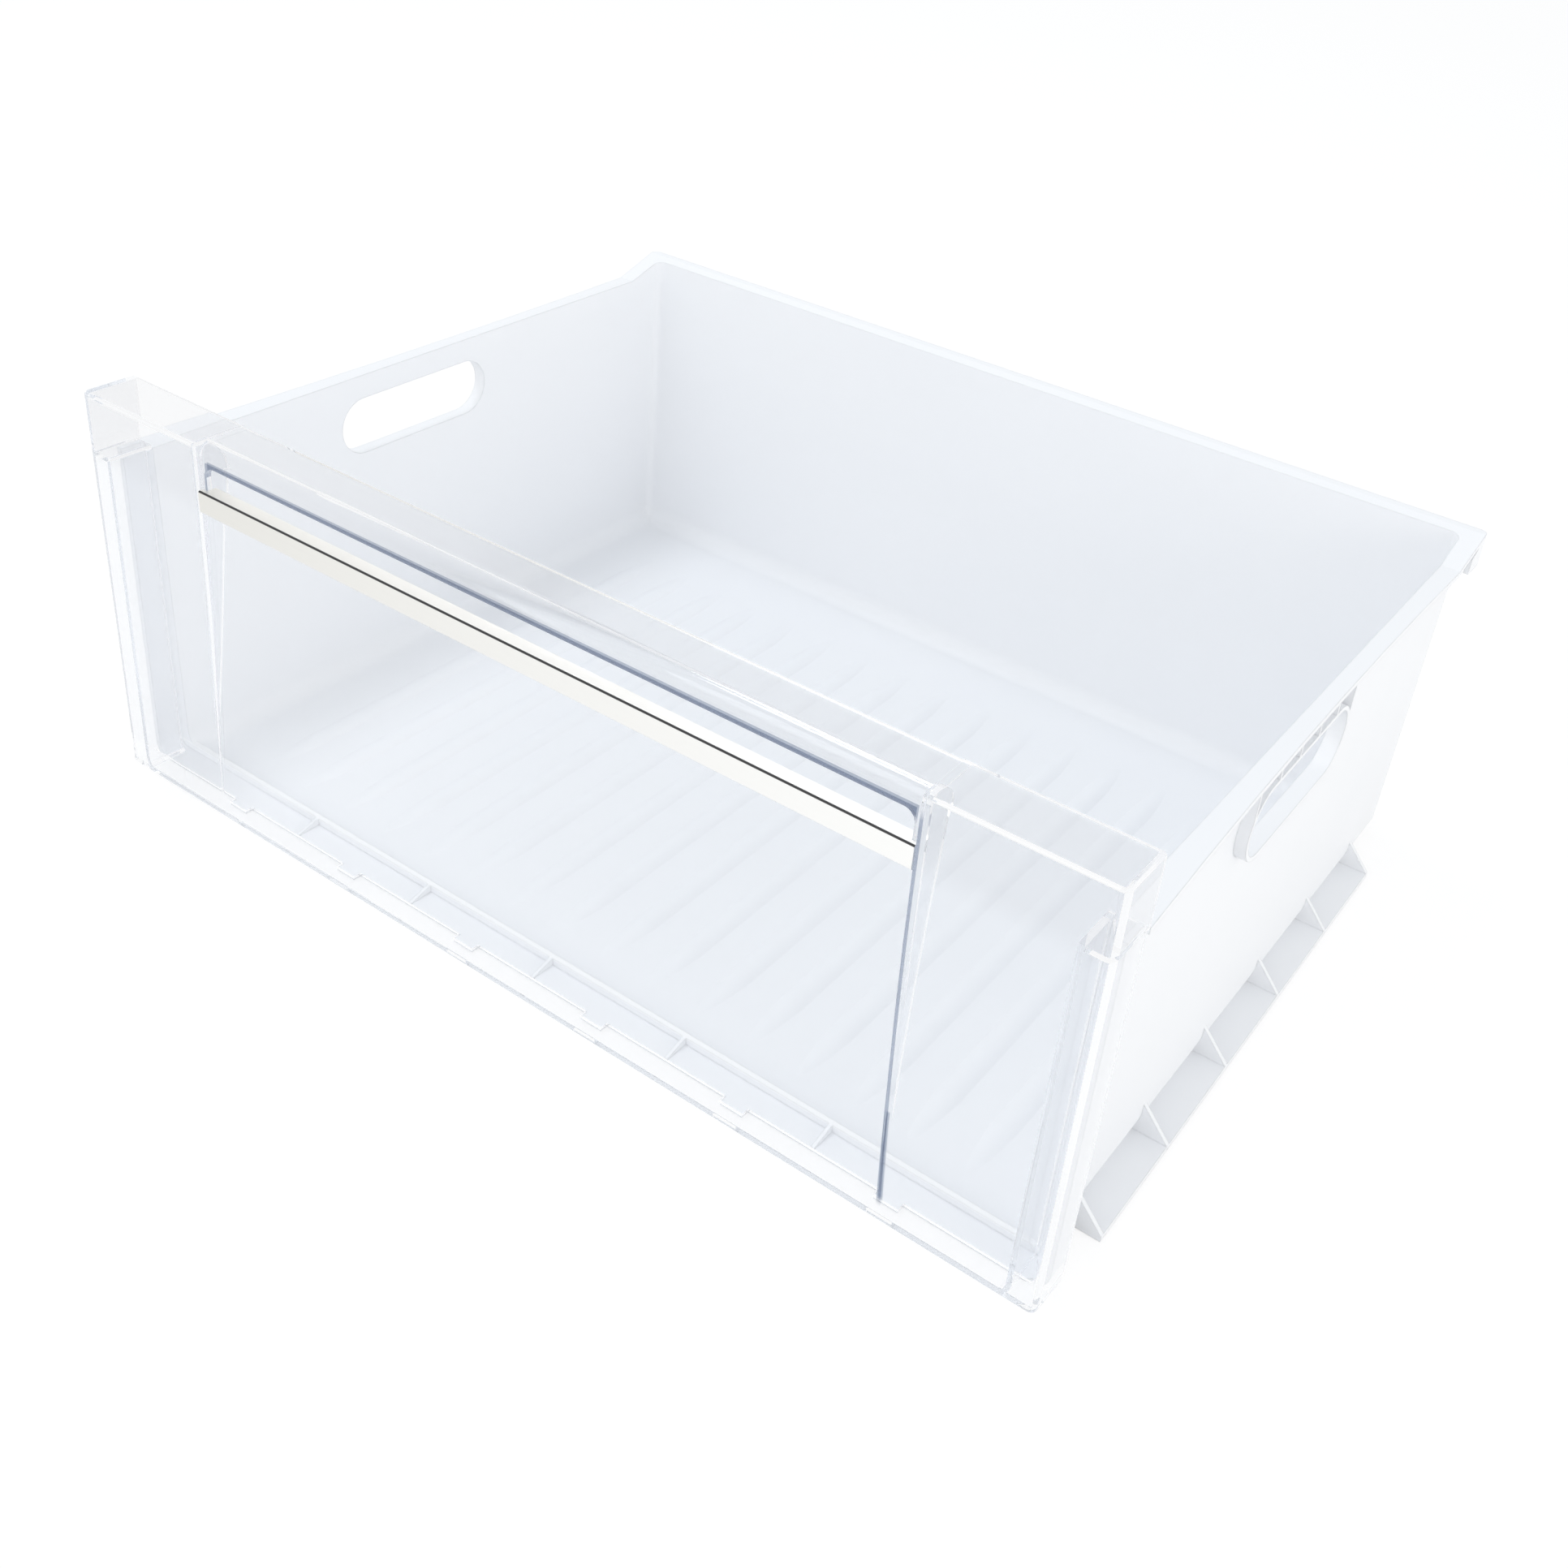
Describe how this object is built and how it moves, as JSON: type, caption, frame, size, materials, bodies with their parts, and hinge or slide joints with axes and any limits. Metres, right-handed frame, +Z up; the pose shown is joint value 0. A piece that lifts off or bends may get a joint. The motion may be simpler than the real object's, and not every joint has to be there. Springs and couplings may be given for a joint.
{
  "type": "freezer drawer",
  "caption": "Freezer drawer: white open-fronted basket with grip slots, side runners and a ridged floor, closed by a clear front panel with a finger slot and a bright handle trim.",
  "frame": {"origin": "middle of the footprint on the plane that the drawer slides and rests on", "axes": "+X across the drawer to the right seen from the front, +Y from the front panel to the back, +Z up"},
  "size_m": [0.4676, 0.35, 0.178],
  "materials": {
    "white_plastic": "satin moulded white polystyrene",
    "clear_plastic": "polished clear moulding with a faint blue edge",
    "satin_metal": "satin bright strip"
  },
  "bodies": {
    "root": {"basket": "white_plastic", "front_panel": "clear_plastic", "handle_trim": "satin_metal"}
  },
  "joints": []
}
